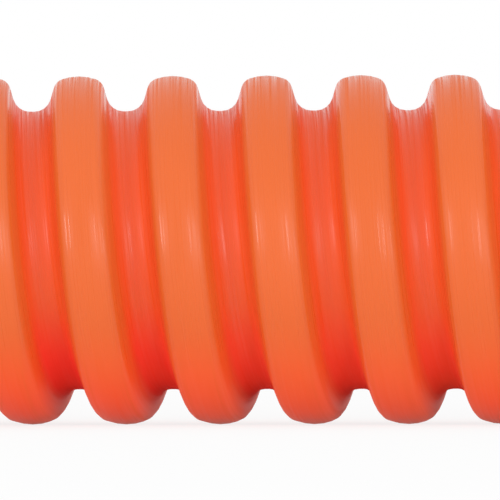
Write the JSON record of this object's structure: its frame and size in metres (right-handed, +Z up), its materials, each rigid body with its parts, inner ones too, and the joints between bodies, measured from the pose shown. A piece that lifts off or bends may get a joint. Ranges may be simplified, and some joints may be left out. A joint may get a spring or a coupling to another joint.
{
  "type": "corrugated conduit",
  "caption": "Straight length of single-wall plastic cable conduit whose wall is one right-hand helical corrugation, sawn square at both ends.",
  "frame": {"origin": "on the floor below the pipe's axis, halfway between its two ends", "axes": "+X along the pipe's axis, +Z up; the pipe lies on its crests on the plane Z = 0"},
  "size_m": [1, 0.065, 0.065],
  "materials": {
    "orange_plastic": "satin"
  },
  "bodies": {
    "root": {"conduit": "orange_plastic"}
  },
  "joints": []
}
